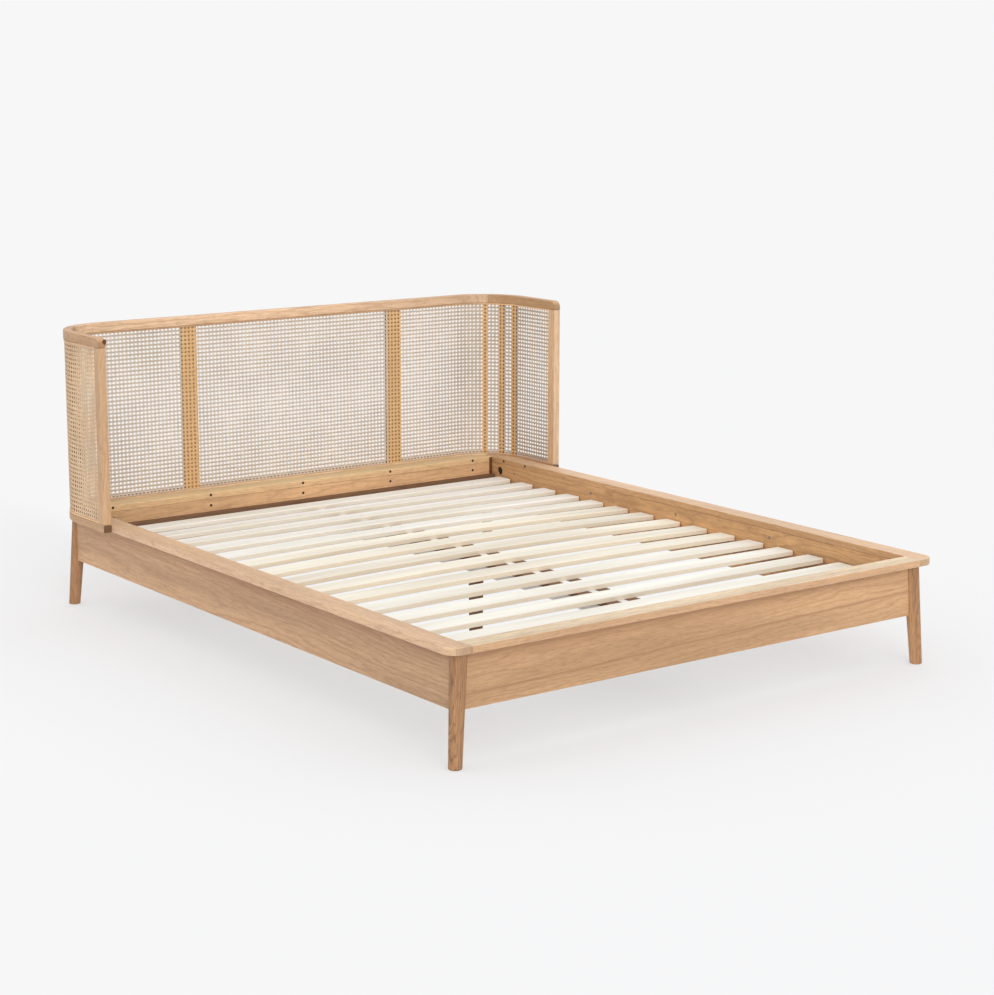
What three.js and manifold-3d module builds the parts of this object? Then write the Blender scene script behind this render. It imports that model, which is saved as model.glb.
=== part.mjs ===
// Platform bed in oak with a caned headboard that wraps round the head of the frame.
// Millimetres, +Z up, foot of the bed towards -Y, origin on the floor at the middle of the footprint.
import * as THREE from 'three';
import { mergeVertices } from 'three/addons/utils/BufferGeometryUtils.js';
import Module from 'manifold-3d';

const wasm = await Module();
wasm.setup();

// Overall sizes
const platformWidth = 1650;
const frameLength = 2080;
const overallHeight = 861;
const capTopHeight = 305;

// Clearance kept between pieces that touch, and the overrun of a cutting solid
const seam = 0.3;
const overrun = 5;

// Caps laid over the box
const capThickness = 19.5;
const capWidth = 59.5;
const headCapWidth = 74;
const capEasing = 2;
const footCornerRadius = 40;

// Boards of the box
const boardThickness = 25;
const boardDepth = 145;
const sideBoardLap = 45;

// Pocket and bolt hole in the side boards near the head
const pocketDiameter = 28;
const pocketDepth = 9;
const pocketDrop = 43.5;
const pocketSetback = 45.5;

// Corner legs
const legTopDiameter = 44.5;
const legFootDiameter = 34.5;
const legFootRounding = 3;
const legFootEasingShare = 0.3;
const legSideSplay = 20.5;
const legEndSplay = 14.5;
const legSideInset = 52;
const legFootInset = 44;
const legHeadInset = 50;

// Slats and what carries them
const slatCount = 15;
const slatWidth = 64;
const slatThickness = 14;
const slatEasing = 2;
const slatDrop = 62.5;
const slatEndGap = 5.5;
const slatFootMargin = 60;
const slatHeadMargin = 48;
const bearerThickness = 20;
const bearerHeight = 36;
const bearerLipThickness = 24;
const bearerLipHeight = 8;
const uprightThickness = 23;
const uprightHeight = 60;
const battenWidth = 42;
const battenThickness = 14;

// Bearer across the head, carrying the end of the centre beam
const headBearerThickness = 20;
const headBearerHeight = 40;
const headBearerRise = 4;

// Crown of the deck, which the centre leg lifts at mid length
const deckRise = 14;
const riseSkewShare = 1.2;
const slatBends = 11;
const beamBends = 32;

// Centre leg
const centreLegDiameter = 44;
const centreLegFootDiameter = 40;
const centreLegFromFoot = 969.5;

// Headboard frame
const headboardThickness = 25;
const cornerRadius = 180;
const wingLength = 364;
const topRailHeight = 29;
const bottomRailHeight = 23;
const railEasing = 2.5;
const wingNoseRadius = 22;
const postDepth = 27;
const wideStileWidth = 54;
const leftStileOffset = 364;
const rightStileOffset = 414;
const stripWidth = 15.5;
const stripSeat = 1.2;
const cornerJointShare = 0.456;
const stripAngleShares = [0.42, 0.653, 0.852];

// Cane skins
const skinThickness = 2;
const skinInset = 2;
const strandWidth = 16;
const netRows = 5;
const netBackColumns = 12;
const netSideColumns = 4;
const netCornerShare = 0.29;

// Smoothness of curved faces
const quarterSteps = 16;
const roundSides = 28;
const easingSteps = 2;
const quarterTurn = Math.PI / 2;

// Levels and faces that several pieces share
const halfWidth = platformWidth / 2;
const footEdge = -frameLength / 2;
const backFace = frameLength / 2;
const capBottom = capTopHeight - capThickness;
const boardTop = capBottom - seam;
const mitreSeam = seam * Math.SQRT2;
const boardBottom = capBottom - boardDepth;
const wellHalfWidth = halfWidth - capWidth;
const wellFootEdge = footEdge + capWidth;
const headboardInnerX = halfWidth + seam;
const headboardOuterX = headboardInnerX + headboardThickness;
const headboardInnerY = backFace - headboardThickness;
const wellHeadEdge = headboardInnerY - headCapWidth;
const wellLength = wellHeadEdge - wellFootEdge;
const slatTop = capTopHeight - slatDrop;
const bearerTop = slatTop - slatThickness - seam;
const bearerHeadEnd = wellHeadEdge - headBearerThickness - 2 * seam;
const cornerX = headboardOuterX - cornerRadius;
const cornerY = backFace - cornerRadius;
const innerRadius = cornerRadius - headboardThickness;
const wingFront = backFace - wingLength;
const bottomRailTop = capBottom + bottomRailHeight;
const topRailBottom = overallHeight - topRailHeight;
const panelBottom = bottomRailTop + seam;
const panelTop = topRailBottom - seam;
const panelHeight = panelTop - panelBottom;
const panelFront = wingFront + postDepth + seam;

// Looks
const oak = new THREE.MeshStandardMaterial({ color: 0xcfa276, roughness: 0.55, metalness: 0 });
const oakDark = new THREE.MeshStandardMaterial({ color: 0xaf7d55, roughness: 0.55, metalness: 0 });
const pine = new THREE.MeshStandardMaterial({ color: 0xeee2cd, roughness: 0.7, metalness: 0 });
const brownWood = new THREE.MeshStandardMaterial({ color: 0x8a6244, roughness: 0.6, metalness: 0 });
const cane = new THREE.MeshStandardMaterial({ color: 0xcdbda0, roughness: 0.65, metalness: 0 });

const bed = new THREE.Group();

function addPiece(name, geometry, material) {
  const mesh = new THREE.Mesh(geometry, material);
  mesh.name = name;
  bed.add(mesh);
  return mesh;
}

// Turn a closed geometry into a solid for joining and cutting
function toSolid(geometry) {
  const bare = geometry.clone();
  bare.deleteAttribute('normal');
  bare.deleteAttribute('uv');
  const merged = mergeVertices(bare);
  return new wasm.Manifold(new wasm.Mesh({
    numProp: 3,
    vertProperties: new Float32Array(merged.attributes.position.array),
    triVerts: new Uint32Array(merged.index.array),
  }));
}

function toGeometry(solid) {
  const mesh = solid.getMesh();
  const geometry = new THREE.BufferGeometry();
  const positions = new Float32Array(mesh.vertProperties);
  geometry.setAttribute('position', new THREE.BufferAttribute(positions, 3));
  geometry.setIndex(new THREE.BufferAttribute(new Uint32Array(mesh.triVerts), 1));
  geometry.computeVertexNormals();
  return geometry;
}

// A box given by its two opposite corners
function boxBetween(x0, y0, z0, x1, y1, z1) {
  const geometry = new THREE.BoxGeometry(x1 - x0, y1 - y0, z1 - z0);
  geometry.translate((x0 + x1) / 2, (y0 + y1) / 2, (z0 + z1) / 2);
  return geometry;
}

// A flat outline raised between two levels, its long edges eased
function raiseOutline(points, bottom, top, easing) {
  const shape = new THREE.Shape(points);
  const geometry = new THREE.ExtrudeGeometry(shape, {
    depth: top - bottom - 2 * easing,
    bevelEnabled: easing > 0,
    bevelThickness: easing,
    bevelSize: easing,
    bevelOffset: -easing,
    bevelSegments: easingSteps,
    steps: 1,
  });
  geometry.translate(0, 0, bottom + easing);
  return geometry;
}

// Points on a corner arc of the headboard, its angle measured from +Y towards the side
function cornerArc(side, radius, from, to) {
  const points = [];
  const step = quarterTurn / quarterSteps;
  const count = Math.max(1, Math.round(Math.abs(to - from) / step));
  for (let i = 0; i <= count; i += 1) {
    const angle = from + ((to - from) * i) / count;
    const x = side * (cornerX + radius * Math.sin(angle));
    const y = cornerY + radius * Math.cos(angle);
    points.push(new THREE.Vector2(x, y));
  }
  return points;
}

// A leg with level sole and level top that leans outward as it goes down
function leaningLeg(topX, topY, leanX, leanY, grow) {
  const height = capBottom - seam;
  const topRadius = legTopDiameter / 2 + grow;
  const footRadius = legFootDiameter / 2 + grow;
  const footEase = legFootRounding * legFootEasingShare;
  const profile = [
    new THREE.Vector2(0, 0),
    new THREE.Vector2(footRadius - legFootRounding, 0),
    new THREE.Vector2(footRadius - footEase, footEase),
    new THREE.Vector2(footRadius, legFootRounding),
    new THREE.Vector2(topRadius, height),
    new THREE.Vector2(0, height),
  ];
  const geometry = new THREE.LatheGeometry(profile, roundSides);
  geometry.rotateX(quarterTurn);
  const lean = new THREE.Matrix4().set(
    1, 0, -leanX / height, topX + leanX,
    0, 1, -leanY / height, topY + leanY,
    0, 0, 1, 0,
    0, 0, 0, 1,
  );
  geometry.applyMatrix4(lean);
  return geometry;
}

// The four corner legs, each named with its place and lean
function legPlaces() {
  const x = halfWidth - legSideInset;
  const yFoot = footEdge + legFootInset;
  const yHead = backFace - legHeadInset;
  return [
    { name: 'leg_front_left', x: -x, y: yFoot, leanX: -legSideSplay, leanY: -legEndSplay },
    { name: 'leg_front_right', x, y: yFoot, leanX: legSideSplay, leanY: -legEndSplay },
    { name: 'leg_rear_left', x: -x, y: yHead, leanX: -legSideSplay, leanY: legEndSplay },
    { name: 'leg_rear_right', x, y: yHead, leanX: legSideSplay, leanY: legEndSplay },
  ];
}

function addLegs() {
  for (const place of legPlaces()) {
    const geometry = leaningLeg(place.x, place.y, place.leanX, place.leanY, 0);
    addPiece(place.name, geometry, oakDark);
  }
}

// Cut every leg out of a board so that its end is coped round the leg
function copeToLegs(geometry) {
  let solid = toSolid(geometry);
  for (const place of legPlaces()) {
    const leg = toSolid(leaningLeg(place.x, place.y, place.leanX, place.leanY, seam));
    solid = solid.subtract(leg);
  }
  return solid;
}

// Round pocket sunk into the inner face of a side board
function pocketCutter(side) {
  const depth = pocketDepth + overrun;
  const geometry = new THREE.CylinderGeometry(pocketDiameter / 2, pocketDiameter / 2, depth, roundSides);
  geometry.rotateZ(quarterTurn);
  const x = side * (wellHalfWidth - overrun + depth / 2);
  geometry.translate(x, wellHeadEdge - pocketSetback, capTopHeight - pocketDrop);
  return toSolid(geometry);
}

// Side board in plan, its foot end mitred to meet the foot board
function addSideBoard(side, name) {
  const inner = wellHalfWidth;
  const outer = inner + boardThickness;
  const yHead = wellHeadEdge + sideBoardLap;
  const points = [
    new THREE.Vector2(side * inner, wellFootEdge + mitreSeam),
    new THREE.Vector2(side * outer, wellFootEdge - boardThickness + mitreSeam),
    new THREE.Vector2(side * outer, yHead),
    new THREE.Vector2(side * inner, yHead),
  ];
  if (side < 0) {
    points.reverse();
  }
  const board = raiseOutline(points, boardBottom, boardTop, 0);
  const cut = copeToLegs(board).subtract(pocketCutter(side));
  addPiece(name, toGeometry(cut), oak);
}

function addFootBoard() {
  const inner = wellHalfWidth;
  const outer = inner + boardThickness;
  const face = wellFootEdge - boardThickness;
  const points = [
    new THREE.Vector2(-outer, face),
    new THREE.Vector2(outer, face),
    new THREE.Vector2(inner, wellFootEdge),
    new THREE.Vector2(-inner, wellFootEdge),
  ];
  const board = raiseOutline(points, boardBottom, boardTop, 0);
  addPiece('board_foot', toGeometry(copeToLegs(board)), oak);
}

function addHeadRail() {
  const reach = wellHalfWidth - seam;
  const outer = wellHeadEdge + boardThickness;
  const board = boxBetween(-reach, wellHeadEdge, boardBottom, reach, outer, boardTop);
  addPiece('board_head', toGeometry(copeToLegs(board)), oak);
}

// Angle on the cap's rear corner at which the side cap meets the head cap
function capJointAngle(x) {
  return Math.asin((x - cornerX) / (innerRadius - seam));
}

function addSideCap(side, name) {
  const inner = wellHalfWidth;
  const rim = innerRadius - seam;
  const points = [new THREE.Vector2(side * inner, footEdge)];
  for (let i = 0; i <= quarterSteps / 2; i += 1) {
    const angle = (quarterTurn * i) / (quarterSteps / 2);
    const x = halfWidth - footCornerRadius + footCornerRadius * Math.sin(angle);
    const y = footEdge + footCornerRadius - footCornerRadius * Math.cos(angle);
    points.push(new THREE.Vector2(side * x, y));
  }
  points.push(...cornerArc(side, rim, quarterTurn, capJointAngle(inner)));
  if (side < 0) {
    points.reverse();
  }
  addPiece(name, raiseOutline(points, capBottom, capTopHeight, capEasing), oak);
}

function addFootCap() {
  const reach = wellHalfWidth - seam;
  const points = [
    new THREE.Vector2(-reach, footEdge),
    new THREE.Vector2(reach, footEdge),
    new THREE.Vector2(reach, wellFootEdge),
    new THREE.Vector2(-reach, wellFootEdge),
  ];
  addPiece('cap_foot', raiseOutline(points, capBottom, capTopHeight, capEasing), oak);
}

function addHeadCap() {
  const reach = wellHalfWidth - seam;
  const rim = innerRadius - seam;
  const points = [
    new THREE.Vector2(-reach, wellHeadEdge),
    new THREE.Vector2(reach, wellHeadEdge),
    ...cornerArc(1, rim, capJointAngle(reach), 0),
    ...cornerArc(-1, rim, 0, capJointAngle(reach)),
  ];
  addPiece('cap_head', raiseOutline(points, capBottom, capTopHeight, capEasing), oak);
}

// Height by which the deck is lifted over the centre beam at a place along the bed
function deckLift(y) {
  const share = Math.min(1, Math.max(0, (y - wellFootEdge) / wellLength));
  return deckRise * Math.sin(Math.PI * share ** riseSkewShare) ** 2;
}

// Raise every point of a piece by the lift at its place, fading to nothing at a given half width
function crownPiece(geometry, reach) {
  const spots = geometry.attributes.position;
  for (let i = 0; i < spots.count; i += 1) {
    const across = spots.getX(i) / reach;
    const lift = deckLift(spots.getY(i)) * (1 - across * across);
    spots.setZ(i, spots.getZ(i) + lift);
  }
  geometry.computeVertexNormals();
}

// A slat laid across the bed, its long edges eased
function addSlat(index) {
  const span = wellLength - slatFootMargin - slatHeadMargin;
  const pitch = (span - slatWidth) / (slatCount - 1);
  const near = wellFootEdge + slatFootMargin + pitch * index;
  const reach = wellHalfWidth - slatEndGap;
  const bottom = bearerTop + seam;
  const ease = slatEasing;
  const points = [
    new THREE.Vector2(near, bottom),
    new THREE.Vector2(near + slatWidth, bottom),
    new THREE.Vector2(near + slatWidth, slatTop - ease),
    new THREE.Vector2(near + slatWidth - ease, slatTop),
    new THREE.Vector2(near + ease, slatTop),
    new THREE.Vector2(near, slatTop - ease),
  ];
  const geometry = new THREE.ExtrudeGeometry(new THREE.Shape(points), {
    depth: 2 * reach,
    bevelEnabled: false,
    steps: slatBends,
  });
  geometry.rotateX(quarterTurn);
  geometry.rotateZ(quarterTurn);
  geometry.translate(-reach, 0, 0);
  crownPiece(geometry, reach);
  addPiece(`slat_${String(index + 1).padStart(2, '0')}`, geometry, pine);
}

// Bearer screwed to a side board, with the lip along its foot
function addBearer(side, name) {
  const wall = wellHalfWidth - seam;
  const bottom = bearerTop - bearerHeight;
  const points = [
    new THREE.Vector2(side * wall, bottom),
    new THREE.Vector2(side * wall, bearerTop),
    new THREE.Vector2(side * (wall - bearerThickness), bearerTop),
    new THREE.Vector2(side * (wall - bearerThickness), bottom + bearerLipHeight),
    new THREE.Vector2(side * (wall - bearerLipThickness), bottom + bearerLipHeight),
    new THREE.Vector2(side * (wall - bearerLipThickness), bottom),
  ];
  if (side > 0) {
    points.reverse();
  }
  const length = wellLength - headBearerThickness - 3 * seam;
  const geometry = new THREE.ExtrudeGeometry(new THREE.Shape(points), {
    depth: length,
    bevelEnabled: false,
  });
  geometry.rotateX(quarterTurn);
  geometry.translate(0, bearerHeadEnd, 0);
  addPiece(name, geometry, oakDark);
}

// Batten fixed across the inner face of the head rail
function addHeadBearer() {
  const reach = wellHalfWidth - seam;
  const top = slatTop + headBearerRise;
  const y1 = wellHeadEdge - seam;
  const y0 = y1 - headBearerThickness;
  const batten = boxBetween(-reach, y0, top - headBearerHeight, reach, y1, top);
  addPiece('bearer_head', batten, oakDark);
}

// A bar of the centre beam between two heights, bent along its length with the deck
function beamBar(x0, z0, x1, z1) {
  const y0 = wellFootEdge + seam;
  const length = bearerHeadEnd - y0;
  const geometry = new THREE.BoxGeometry(x1 - x0, length, z1 - z0, 1, beamBends, 1);
  geometry.translate((x0 + x1) / 2, y0 + length / 2, (z0 + z1) / 2);
  const spots = geometry.attributes.position;
  for (let i = 0; i < spots.count; i += 1) {
    spots.setZ(i, spots.getZ(i) + deckLift(spots.getY(i)));
  }
  geometry.computeVertexNormals();
  return geometry;
}

function addCentreBeam() {
  const half = uprightThickness / 2;
  addPiece('centre_upright', beamBar(-half, bearerTop - uprightHeight, half, bearerTop), pine);
  const near = half + seam;
  const far = near + battenWidth;
  const low = bearerTop - battenThickness;
  addPiece('centre_batten_left', beamBar(-far, low, -near, bearerTop), brownWood);
  addPiece('centre_batten_right', beamBar(near, low, far, bearerTop), brownWood);
}

function addCentreLeg() {
  const y = wellFootEdge + centreLegFromFoot;
  const topRadius = centreLegDiameter / 2;
  const footRadius = centreLegFootDiameter / 2;
  const lift = Math.min(deckLift(y - topRadius), deckLift(y + topRadius));
  const height = bearerTop - uprightHeight - seam + lift;
  const geometry = new THREE.CylinderGeometry(topRadius, footRadius, height, roundSides);
  geometry.rotateX(quarterTurn);
  geometry.translate(0, y, height / 2);
  addPiece('leg_centre', geometry, brownWood);
}

// Outline in plan of a band of the headboard between two offsets from its inner face
function backBand(near, far, jointAngle) {
  const inner = innerRadius + near;
  const outer = innerRadius + far;
  return [
    ...cornerArc(-1, inner, jointAngle, 0),
    ...cornerArc(1, inner, 0, jointAngle),
    ...cornerArc(1, outer, jointAngle, 0),
    ...cornerArc(-1, outer, 0, jointAngle),
  ];
}

function wingBand(side, near, far, startAngle, front) {
  const inner = innerRadius + near;
  const outer = innerRadius + far;
  const points = [
    ...cornerArc(side, inner, startAngle, quarterTurn),
    new THREE.Vector2(side * (cornerX + inner), front),
    new THREE.Vector2(side * (cornerX + outer), front),
    ...cornerArc(side, outer, quarterTurn, startAngle),
  ];
  if (side < 0) {
    points.reverse();
  }
  return points;
}

// Wood left outside a quarter circle at the upper front corner of a wing
function noseCutter(side) {
  const r = wingNoseRadius;
  const shape = new THREE.Shape();
  shape.moveTo(wingFront - overrun, overallHeight + overrun);
  shape.lineTo(wingFront - overrun, overallHeight - r);
  shape.lineTo(wingFront, overallHeight - r);
  for (let i = 1; i <= quarterSteps / 2; i += 1) {
    const angle = (quarterTurn * i) / (quarterSteps / 2);
    const y = wingFront + r - r * Math.cos(angle);
    const z = overallHeight - r + r * Math.sin(angle);
    shape.lineTo(y, z);
  }
  shape.lineTo(wingFront + r, overallHeight + overrun);
  const width = headboardThickness + 2 * overrun;
  const geometry = new THREE.ExtrudeGeometry(shape, { depth: width, bevelEnabled: false });
  geometry.rotateX(quarterTurn);
  geometry.rotateZ(quarterTurn);
  const x0 = side > 0 ? headboardInnerX - overrun : -headboardOuterX - overrun;
  geometry.translate(x0, 0, 0);
  return toSolid(geometry);
}

function addRails() {
  const t = headboardThickness;
  const joint = quarterTurn * cornerJointShare;
  const jointGap = seam / cornerRadius;
  const back = backBand(0, t, joint);
  const top = raiseOutline(back, topRailBottom, overallHeight, railEasing);
  addPiece('headboard_top_rail_back', top, oak);
  const bottom = raiseOutline(back, capBottom, bottomRailTop, railEasing);
  addPiece('headboard_bottom_rail_back', bottom, oak);
  for (const [side, word] of [[-1, 'left'], [1, 'right']]) {
    const wing = wingBand(side, 0, t, joint + jointGap, wingFront);
    const wingTop = toSolid(raiseOutline(wing, topRailBottom, overallHeight, railEasing));
    const rounded = wingTop.subtract(noseCutter(side));
    addPiece(`headboard_top_rail_${word}`, toGeometry(rounded), oak);
    const wingBottom = raiseOutline(wing, capBottom, bottomRailTop, railEasing);
    addPiece(`headboard_bottom_rail_${word}`, wingBottom, oak);
  }
}

function addPosts() {
  for (const [side, word] of [[-1, 'left'], [1, 'right']]) {
    const x0 = side > 0 ? headboardInnerX : -headboardOuterX;
    const points = [
      new THREE.Vector2(x0, wingFront),
      new THREE.Vector2(x0 + headboardThickness, wingFront),
      new THREE.Vector2(x0 + headboardThickness, wingFront + postDepth),
      new THREE.Vector2(x0, wingFront + postDepth),
    ];
    const geometry = raiseOutline(points, panelBottom, panelTop, 0);
    addPiece(`headboard_post_${word}`, geometry, oak);
  }
}

// Wide stiles in the back and narrow strips round each corner, between the two skins
function addStiles() {
  const seat = skinInset + skinThickness + stripSeat;
  const depth = headboardThickness - 2 * seat;
  const middle = innerRadius + headboardThickness / 2;
  for (const [side, word, offset] of [[-1, 'left', leftStileOffset], [1, 'right', rightStileOffset]]) {
    const stile = new THREE.BoxGeometry(wideStileWidth, depth, panelHeight);
    const y = cornerY + middle;
    stile.translate(side * offset, y, (panelBottom + panelTop) / 2);
    addPiece(`headboard_stile_${word}`, stile, oak);
    stripAngleShares.forEach((share, index) => {
      const angle = quarterTurn * share;
      const strip = new THREE.BoxGeometry(stripWidth, depth, panelHeight);
      strip.rotateZ(-side * angle);
      const x = side * (cornerX + middle * Math.sin(angle));
      strip.translate(x, cornerY + middle * Math.cos(angle), (panelBottom + panelTop) / 2);
      addPiece(`headboard_strip_${word}_${index + 1}`, strip, oak);
    });
  }
}

// Eight corners of one gap in the net
function gapOutline(width, height) {
  const w = width / 2;
  const h = height / 2;
  const cw = w * (1 - 2 * netCornerShare);
  const ch = h * (1 - 2 * netCornerShare);
  return [
    new THREE.Vector2(-cw, -h),
    new THREE.Vector2(cw, -h),
    new THREE.Vector2(w, -ch),
    new THREE.Vector2(w, ch),
    new THREE.Vector2(cw, h),
    new THREE.Vector2(-cw, h),
    new THREE.Vector2(-w, ch),
    new THREE.Vector2(-w, -ch),
  ];
}

// Level flat skin across the back, drawn in its own plane with every gap as a hole
function backNet() {
  const reach = cornerX - seam / 2;
  const shape = new THREE.Shape([
    new THREE.Vector2(-reach, panelBottom),
    new THREE.Vector2(reach, panelBottom),
    new THREE.Vector2(reach, panelTop),
    new THREE.Vector2(-reach, panelTop),
  ]);
  const pitchX = (2 * reach - strandWidth) / netBackColumns;
  const pitchZ = (panelHeight - strandWidth) / netRows;
  const outline = gapOutline(pitchX - strandWidth, pitchZ - strandWidth);
  for (let i = 0; i < netBackColumns; i += 1) {
    for (let j = 0; j < netRows; j += 1) {
      const x = -reach + strandWidth / 2 + pitchX * (i + 0.5);
      const z = panelBottom + strandWidth / 2 + pitchZ * (j + 0.5);
      const hole = outline.map((p) => new THREE.Vector2(p.x + x, p.y + z));
      shape.holes.push(new THREE.Path(hole));
    }
  }
  const geometry = new THREE.ExtrudeGeometry(shape, { depth: skinThickness, bevelEnabled: false });
  geometry.rotateX(quarterTurn);
  return geometry;
}

// Place and turn of a point on a side skin, a given way along it from the back
function alongSide(side, radius, distance) {
  const arcLength = radius * quarterTurn;
  if (distance < arcLength) {
    const angle = distance / radius;
    const x = side * (cornerX + radius * Math.sin(angle));
    return { x, y: cornerY + radius * Math.cos(angle), turn: angle };
  }
  const x = side * (cornerX + radius);
  return { x, y: cornerY - (distance - arcLength), turn: quarterTurn };
}

// Skin round one corner and along the wing, with its gaps cut square to the surface
function sideNet(side, near) {
  const far = near + skinThickness;
  const radius = innerRadius + near + skinThickness / 2;
  const start = seam / (2 * radius);
  const band = wingBand(side, near, far, start, panelFront);
  let solid = toSolid(raiseOutline(band, panelBottom, panelTop, 0));
  const length = radius * quarterTurn + cornerY - panelFront;
  const pitch = (length - strandWidth) / netSideColumns;
  const pitchZ = (panelHeight - strandWidth) / netRows;
  const depth = skinThickness + 2 * overrun;
  for (let i = 0; i < netSideColumns; i += 1) {
    const spot = alongSide(side, radius, strandWidth / 2 + pitch * (i + 0.5));
    const shape = new THREE.Shape(gapOutline(pitch - strandWidth, pitchZ - strandWidth));
    for (let j = 0; j < netRows; j += 1) {
      const cutter = new THREE.ExtrudeGeometry(shape, { depth, bevelEnabled: false });
      cutter.translate(0, 0, -depth / 2);
      cutter.rotateX(quarterTurn);
      cutter.rotateZ(-side * spot.turn);
      const z = panelBottom + strandWidth / 2 + pitchZ * (j + 0.5);
      cutter.translate(spot.x, spot.y, z);
      solid = solid.subtract(toSolid(cutter));
    }
  }
  return toGeometry(solid);
}

function addSkins() {
  const innerNear = skinInset;
  const outerNear = headboardThickness - skinInset - skinThickness;
  for (const [near, word] of [[innerNear, 'inner'], [outerNear, 'outer']]) {
    const back = backNet();
    back.translate(0, headboardInnerY + near + skinThickness, 0);
    addPiece(`cane_${word}_back`, back, cane);
    addPiece(`cane_${word}_left`, sideNet(-1, near), cane);
    addPiece(`cane_${word}_right`, sideNet(1, near), cane);
  }
}

function addPlatform() {
  addLegs();
  addSideBoard(-1, 'board_side_left');
  addSideBoard(1, 'board_side_right');
  addFootBoard();
  addHeadRail();
  addSideCap(-1, 'cap_side_left');
  addSideCap(1, 'cap_side_right');
  addFootCap();
  addHeadCap();
}

function addDeck() {
  addBearer(-1, 'bearer_left');
  addBearer(1, 'bearer_right');
  addHeadBearer();
  addCentreBeam();
  addCentreLeg();
  for (let i = 0; i < slatCount; i += 1) {
    addSlat(i);
  }
}

function addHeadboard() {
  addRails();
  addPosts();
  addStiles();
  addSkins();
}

addPlatform();
addDeck();
addHeadboard();

export default bed;
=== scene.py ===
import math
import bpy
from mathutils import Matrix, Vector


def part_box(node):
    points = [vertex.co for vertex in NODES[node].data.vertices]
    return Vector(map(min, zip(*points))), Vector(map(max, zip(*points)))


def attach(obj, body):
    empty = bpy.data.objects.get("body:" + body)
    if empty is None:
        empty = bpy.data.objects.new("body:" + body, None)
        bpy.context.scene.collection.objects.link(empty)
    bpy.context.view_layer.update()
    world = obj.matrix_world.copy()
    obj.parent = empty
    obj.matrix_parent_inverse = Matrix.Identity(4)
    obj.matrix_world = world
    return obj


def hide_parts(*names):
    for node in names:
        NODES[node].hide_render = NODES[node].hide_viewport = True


bl_info = {
    "name": "Caned Platform Bed",
    "version": (1, 0, 0),
    "blender": (4, 5, 0),
    "location": "View3D > Sidebar > Bed",
    "description": "Dresses the frame of an oak platform bed: grain, woven cane skins, beads, screws and stage",
    "category": "Object",
}

import bpy
from mathutils import Euler, Quaternion, Vector

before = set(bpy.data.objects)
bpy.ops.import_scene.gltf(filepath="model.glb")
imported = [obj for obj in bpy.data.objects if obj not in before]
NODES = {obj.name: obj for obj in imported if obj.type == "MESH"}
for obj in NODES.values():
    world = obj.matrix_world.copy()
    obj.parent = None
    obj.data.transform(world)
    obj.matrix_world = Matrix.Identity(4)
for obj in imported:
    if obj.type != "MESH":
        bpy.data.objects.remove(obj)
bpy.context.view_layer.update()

SIDE_NAMES = ("left", "right")
SIDES = ((-1, "left"), (1, "right"))
SLATS = [f"slat_{number:02d}" for number in range(1, 16)]
QUARTER = math.pi / 2


def span(node):
    """Lowest and highest corner of a CAD node, in metres."""
    low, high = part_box(node)
    return Vector(low), Vector(high)


# Levels and faces read from the frame, which the dressed pieces follow
PANEL_LOW = span("cane_inner_back")[0].z
PANEL_HIGH = span("cane_inner_back")[1].z
INNER_SKIN_Y = sum(corner.y for corner in span("cane_inner_back")) / 2
OUTER_SKIN_Y = sum(corner.y for corner in span("cane_outer_back")) / 2
BACK_FACE_Y = span("headboard_top_rail_back")[1].y
WING_FACE_X = span("headboard_post_right")[1].x
POST_BACK_Y = span("headboard_post_right")[1].y
CORNER_X = span("cane_inner_back")[1].x
CORNER_Y = BACK_FACE_Y - (WING_FACE_X - CORNER_X)
WELL_X = span("board_side_right")[0].x
HEAD_FACE_Y = span("board_head")[0].y
CAP_TOP = span("cap_foot")[1].z
SLAT_TOP = span("slat_15")[1].z


# Places of the small fixings as the photograph shows them, in metres
HEAD_HOLES_X = (-0.685, -0.342, 0.0, 0.342, 0.683)
HEAD_HOLES_Z = (0.2985, 0.2655)
SIDE_HOLES_Y = (0.873, 0.754)
SIDE_HOLES_Z = 0.2975
SIDE_SCREWS_Y = (0.815, 0.40, -0.02, -0.44, -0.86)
SIDE_SCREWS_Z = 0.262

# The dark spot on the left top rail's end: in from the wing's face, back from the rail's end, and height
DARK_SPOT_PLACE = (0.0216, 0.0004, 0.849)

# The round pocket in each side board, and how far its disc of painted shade and its bolt stand off its floor
POCKET_SETBACK = 0.0455
POCKET_DROP = 0.0435
POCKET_DEPTH = 0.009
SHADING_LIFT = 0.0001
BOLT_LIFT = 0.0074

# Width and depth of the painted shade in the gaps at the far corners of the well, and of the dark joints at the ends of
# the foot cap
CORNER_JOINT = (0.0115, 0.0012)
FOOT_JOINT = (0.0018, 0.0010)
# How far a corner joint ends under the slats and under the cap's top, and a foot joint short of the cap
JOINT_UNDER_SLATS = 0.012
JOINT_UNDER_CAP = 0.0022
JOINT_SHORT_OF_CAP = 0.004

# Half the width and depth of the patch of warm cane over a wide stile and over a narrow strip
STILE_HALF = (0.0275, 0.011)
STRIP_HALF = (0.0085, 0.011)

# How far a bead stands out from the middle of its skin
BEAD_DEPTH = 0.0014

# Points nearer than this are one, edges above one angle are eased and those below the other look smooth
WELD_REACH = 0.00002
EASED_ABOVE = math.radians(42.0)
SMOOTH_BELOW = math.radians(40.0)

# Cuts across a flat piece and points on its path, for each turn round a corner
TURN_CUTS = 16
TURN_POINTS = 48

# The camera solved from the photograph, in its pixels, in millimetres, in metres and in radians
FOCAL_PIXELS = 2220.08
PHOTO_WIDTH = 994.0
SENSOR_WIDTH = 36.0
CAMERA_PLACE = (-3.73973, -5.11573, 1.67072)
CAMERA_YAW, CAMERA_PITCH, CAMERA_ROLL = 0.641897, 0.197522, 0.002401

# The key light and the point it looks at, which give its direction
KEY_PLACE = (-1.5, -4.6, 2.1)
KEY_AIM = (0.0, 0.0, 0.3)


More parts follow.
